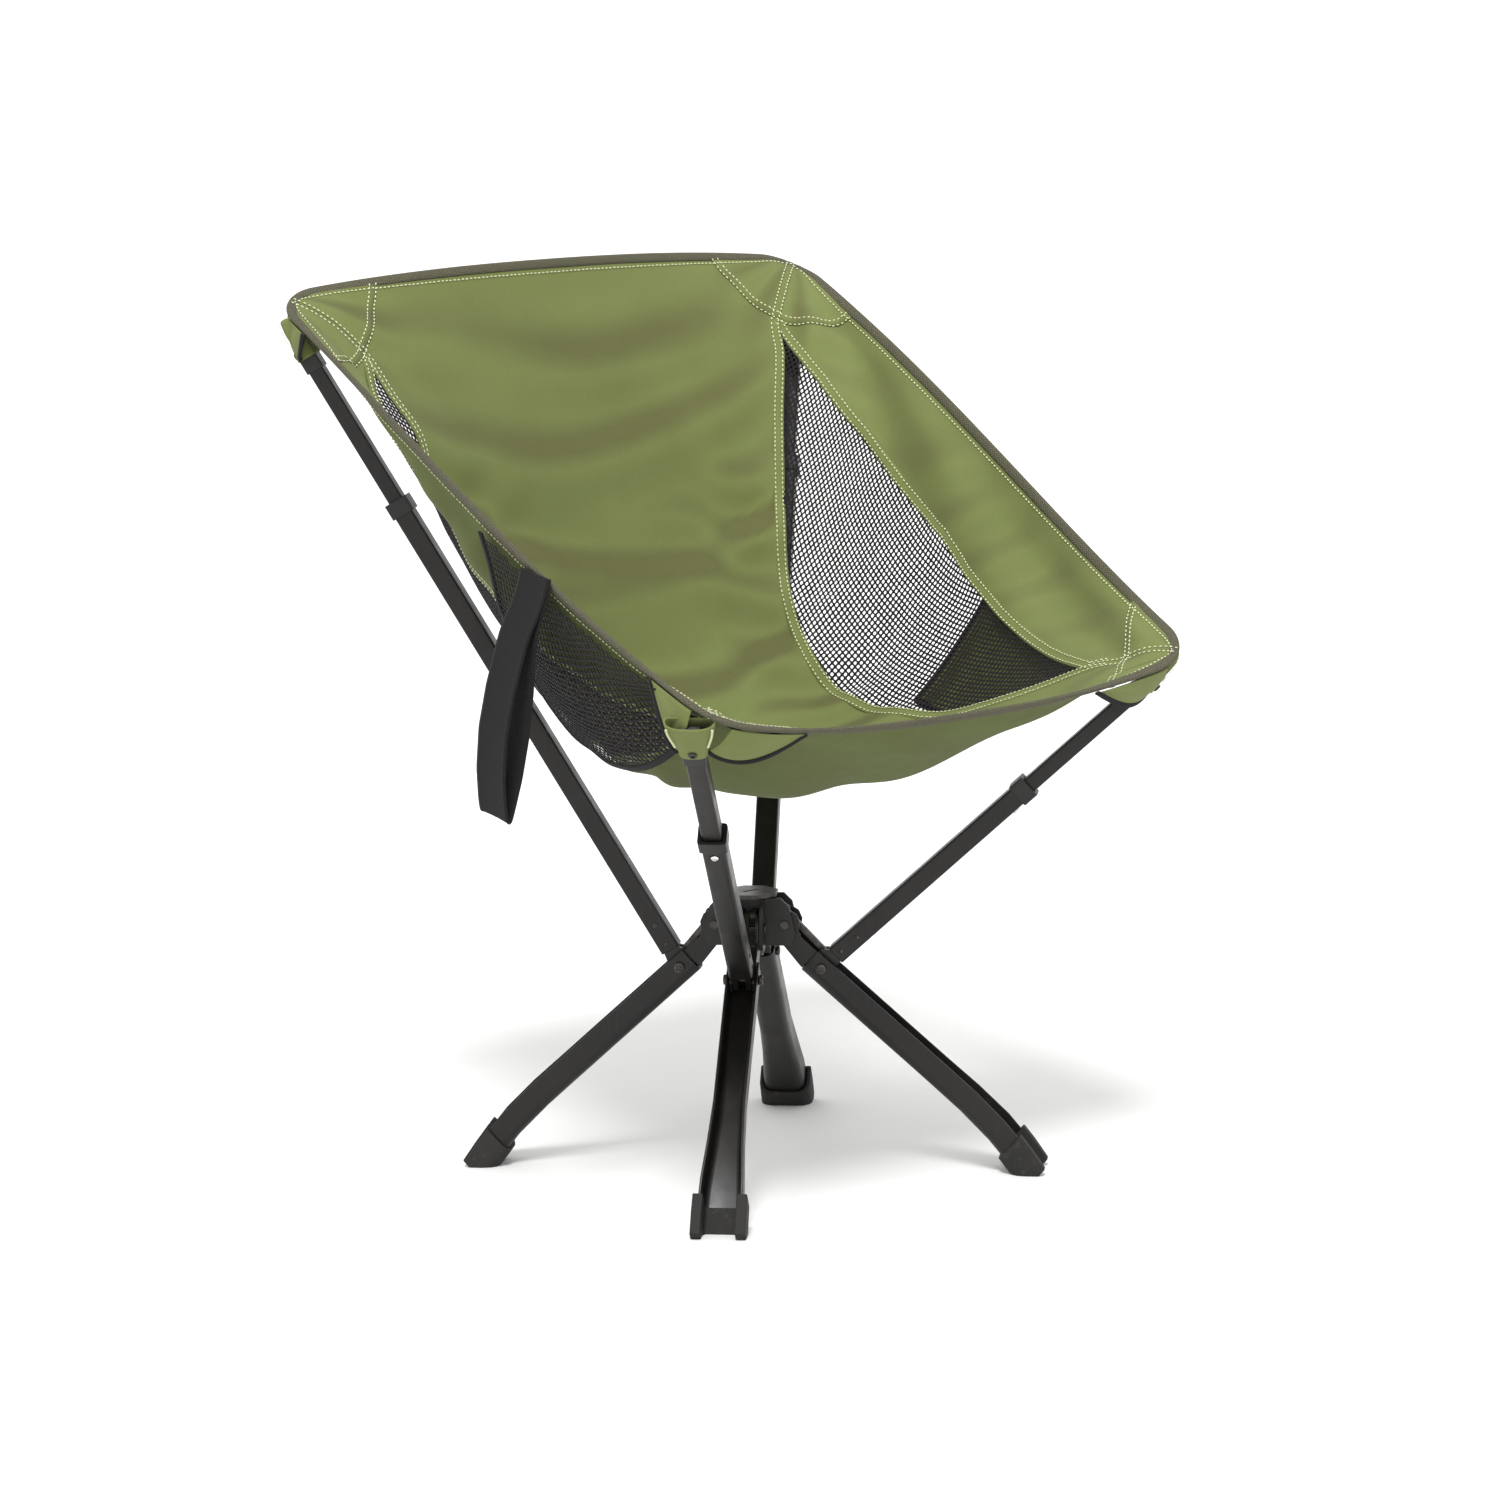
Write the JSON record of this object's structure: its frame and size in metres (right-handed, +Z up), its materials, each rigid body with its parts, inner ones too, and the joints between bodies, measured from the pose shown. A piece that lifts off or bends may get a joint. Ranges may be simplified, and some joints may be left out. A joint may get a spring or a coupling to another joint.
{
  "type": "folding camping chair",
  "caption": "Low folding camping chair: a fabric bucket seat with mesh windows slung from telescoping arms over a central hub with splayed folding legs and a carry strap.",
  "frame": {"origin": "on the ground, on the vertical axis of the hub, midway between the four soles", "axes": "+Z up; the sitter faces -Y; +X is the right-hand side as seen from the front, so the carry strap hangs on the -X side"},
  "size_m": [0.5963, 0.5665, 0.7654],
  "materials": {
    "frame": "satin dark brown-black powder coat",
    "hub_plastic": "fine-textured black moulding",
    "hub_plate": "satin grey-brown",
    "rubber": "matt black",
    "steel": "bright plated",
    "dark_steel": "dark plated",
    "green_fabric": "olive green plain-weave polyester",
    "black_mesh": "black open knitted mesh",
    "webbing": "ribbed black webbing"
  },
  "bodies": {
    "hub": {"hub_body": "hub_plastic", "hub_top_plate": "hub_plate", "hub_pin_back_right": "dark_steel", "hub_pin_back_left": "dark_steel", "hub_pin_front_left": "dark_steel", "hub_pin_front_right": "dark_steel"},
    "leg_back_left": {"leg_channel_back_left": "frame", "leg_boot_back_left": "rubber", "leg_knuckle_back_left": "frame", "arm_screw_back_left": "dark_steel"},
    "arm_back_left": {"arm_outer_back_left": "frame", "arm_collar_back_left": "hub_plastic", "arm_plug_back_left": "hub_plastic"},
    "inner_back_left": {"arm_inner_back_left": "frame", "tip_cap_back_left": "hub_plastic", "corner_pocket_back_left": "green_fabric"},
    "button_back_left": {"snap_button_back_left": "steel"},
    "link_back_left": {"push_link_back_left": "dark_steel"},
    "leg_back_right": {"leg_channel_back_right": "frame", "leg_boot_back_right": "rubber", "leg_knuckle_back_right": "frame", "arm_screw_back_right": "dark_steel"},
    "arm_back_right": {"arm_outer_back_right": "frame", "arm_collar_back_right": "hub_plastic", "arm_plug_back_right": "hub_plastic"},
    "inner_back_right": {"arm_inner_back_right": "frame", "tip_cap_back_right": "hub_plastic", "corner_pocket_back_right": "green_fabric"},
    "button_back_right": {"snap_button_back_right": "steel"},
    "link_back_right": {"push_link_back_right": "dark_steel"},
    "leg_front_left": {"leg_channel_front_left": "frame", "leg_boot_front_left": "rubber", "leg_knuckle_front_left": "frame", "arm_screw_front_left": "dark_steel"},
    "arm_front_left": {"arm_outer_front_left": "frame", "arm_collar_front_left": "hub_plastic", "arm_plug_front_left": "hub_plastic"},
    "inner_front_left": {"arm_inner_front_left": "frame", "tip_cap_front_left": "hub_plastic", "corner_pocket_front_left": "green_fabric"},
    "button_front_left": {"snap_button_front_left": "steel"},
    "link_front_left": {"push_link_front_left": "dark_steel"},
    "leg_front_right": {"leg_channel_front_right": "frame", "leg_boot_front_right": "rubber", "leg_knuckle_front_right": "frame", "arm_screw_front_right": "dark_steel"},
    "arm_front_right": {"arm_outer_front_right": "frame", "arm_collar_front_right": "hub_plastic", "arm_plug_front_right": "hub_plastic"},
    "inner_front_right": {"arm_inner_front_right": "frame", "tip_cap_front_right": "hub_plastic", "corner_pocket_front_right": "green_fabric"},
    "button_front_right": {"snap_button_front_right": "steel"},
    "link_front_right": {"push_link_front_right": "dark_steel"},
    "seat": {"seat_sling": "green_fabric", "mesh_window_left": "black_mesh", "mesh_window_right": "black_mesh", "side_wing_left": "green_fabric", "side_wing_right": "green_fabric"},
    "strap": {"handle_strap": "webbing"}
  },
  "joints": [
    {"name": "fold", "type": "hinge", "parent": "hub", "child": "leg_back_left", "pos_m": [-0.02121, 0.02121, 0.215], "axis": [0.7071, 0.7071, 0], "range_deg": [0, 132], "deforming": ["seat_sling", "mesh_window_left", "mesh_window_right", "side_wing_left", "side_wing_right", "handle_strap"]},
    {"name": "arm_swing_back_left", "type": "hinge", "parent": "leg_back_left", "child": "arm_back_left", "pos_m": [-0.04313, 0.04313, 0.177], "axis": [0.7071, 0.7071, 0], "range_deg": [-101.9, 0.5]},
    {"name": "link_swing_back_left", "type": "hinge", "parent": "hub", "child": "link_back_left", "pos_m": [-0.02051, 0.02051, 0.2255], "axis": [0.7071, 0.7071, 0], "range_deg": [-0.5, 139.77]},
    {"name": "arm_slide_back_left", "type": "slide", "parent": "arm_back_left", "child": "inner_back_left", "axis": [-0.3599, 0.3599, 0.8607], "range_m": [-0.1, 0], "deforming": ["snap_button_back_left"]},
    {"name": "button_press_back_left", "type": "slide", "parent": "inner_back_left", "child": "button_back_left", "axis": [0.6086, -0.6086, 0.509], "range_m": [0, 0.0037], "stiffness_N_per_m": 1500, "springref_m": -0.003},
    {"name": "leg_swing_back_right", "type": "hinge", "parent": "hub", "child": "leg_back_right", "pos_m": [0.02121, 0.02121, 0.215], "axis": [0.7071, -0.7071, 0], "range_deg": [-0.5, 132.5]},
    {"name": "arm_swing_back_right", "type": "hinge", "parent": "leg_back_right", "child": "arm_back_right", "pos_m": [0.04313, 0.04313, 0.177], "axis": [0.7071, -0.7071, 0], "range_deg": [-101.9, 0.5]},
    {"name": "link_swing_back_right", "type": "hinge", "parent": "hub", "child": "link_back_right", "pos_m": [0.02051, 0.02051, 0.2255], "axis": [0.7071, -0.7071, 0], "range_deg": [-0.5, 139.77]},
    {"name": "arm_slide_back_right", "type": "slide", "parent": "arm_back_right", "child": "inner_back_right", "axis": [0.3599, 0.3599, 0.8607], "range_m": [-0.1, 0], "deforming": ["snap_button_back_right"]},
    {"name": "button_press_back_right", "type": "slide", "parent": "inner_back_right", "child": "button_back_right", "axis": [-0.6086, -0.6086, 0.509], "range_m": [0, 0.0037], "stiffness_N_per_m": 1500, "springref_m": -0.003},
    {"name": "leg_swing_front_left", "type": "hinge", "parent": "hub", "child": "leg_front_left", "pos_m": [-0.02121, -0.02121, 0.215], "axis": [-0.7071, 0.7071, 0], "range_deg": [-0.5, 132.5]},
    {"name": "arm_swing_front_left", "type": "hinge", "parent": "leg_front_left", "child": "arm_front_left", "pos_m": [-0.04313, -0.04313, 0.177], "axis": [-0.7071, 0.7071, 0], "range_deg": [-84.2, 0.5]},
    {"name": "link_swing_front_left", "type": "hinge", "parent": "hub", "child": "link_front_left", "pos_m": [-0.02051, -0.02051, 0.2255], "axis": [-0.7071, 0.7071, 0], "range_deg": [-0.5, 136.33]},
    {"name": "arm_slide_front_left", "type": "slide", "parent": "arm_front_left", "child": "inner_front_left", "axis": [-0.528, -0.528, 0.6652], "range_m": [-0.1, 0], "deforming": ["snap_button_front_left"]},
    {"name": "button_press_front_left", "type": "slide", "parent": "inner_front_left", "child": "button_front_left", "axis": [0.4704, 0.4704, 0.7466], "range_m": [0, 0.0037], "stiffness_N_per_m": 1500, "springref_m": -0.003},
    {"name": "leg_swing_front_right", "type": "hinge", "parent": "hub", "child": "leg_front_right", "pos_m": [0.02121, -0.02121, 0.215], "axis": [-0.7071, -0.7071, 0], "range_deg": [-0.5, 132.5]},
    {"name": "arm_swing_front_right", "type": "hinge", "parent": "leg_front_right", "child": "arm_front_right", "pos_m": [0.04313, -0.04313, 0.177], "axis": [-0.7071, -0.7071, 0], "range_deg": [-84.2, 0.5]},
    {"name": "link_swing_front_right", "type": "hinge", "parent": "hub", "child": "link_front_right", "pos_m": [0.02051, -0.02051, 0.2255], "axis": [-0.7071, -0.7071, 0], "range_deg": [-0.5, 136.33]},
    {"name": "arm_slide_front_right", "type": "slide", "parent": "arm_front_right", "child": "inner_front_right", "axis": [0.528, -0.528, 0.6652], "range_m": [-0.1, 0], "deforming": ["snap_button_front_right"]},
    {"name": "button_press_front_right", "type": "slide", "parent": "inner_front_right", "child": "button_front_right", "axis": [-0.4704, 0.4704, 0.7466], "range_m": [0, 0.0037], "stiffness_N_per_m": 1500, "springref_m": -0.003},
    {"name": "seat_lift", "type": "slide", "parent": "hub", "child": "seat", "axis": [0, 0, 1], "range_m": [-0.001, 0.141]},
    {"name": "strap_swing", "type": "hinge", "parent": "seat", "child": "strap", "pos_m": [-0.286, -0.085, 0.546], "axis": [0, 1, 0], "range_deg": [-3, 75]}
  ],
  "couplings": [
    {"joint": "arm_swing_back_left", "follows": "fold", "ratio": -0.76818},
    {"joint": "link_swing_back_left", "follows": "fold", "ratio": 1.0551},
    {"joint": "leg_swing_back_right", "follows": "fold", "ratio": 1},
    {"joint": "arm_swing_back_right", "follows": "fold", "ratio": -0.76818},
    {"joint": "link_swing_back_right", "follows": "fold", "ratio": 1.0551},
    {"joint": "leg_swing_front_left", "follows": "fold", "ratio": 1},
    {"joint": "arm_swing_front_left", "follows": "fold", "ratio": -0.63409},
    {"joint": "link_swing_front_left", "follows": "fold", "ratio": 1.029},
    {"joint": "leg_swing_front_right", "follows": "fold", "ratio": 1},
    {"joint": "arm_swing_front_right", "follows": "fold", "ratio": -0.63409},
    {"joint": "link_swing_front_right", "follows": "fold", "ratio": 1.029},
    {"joint": "seat_lift", "follows": "fold", "m_per_rad": 0.060768}
  ]
}
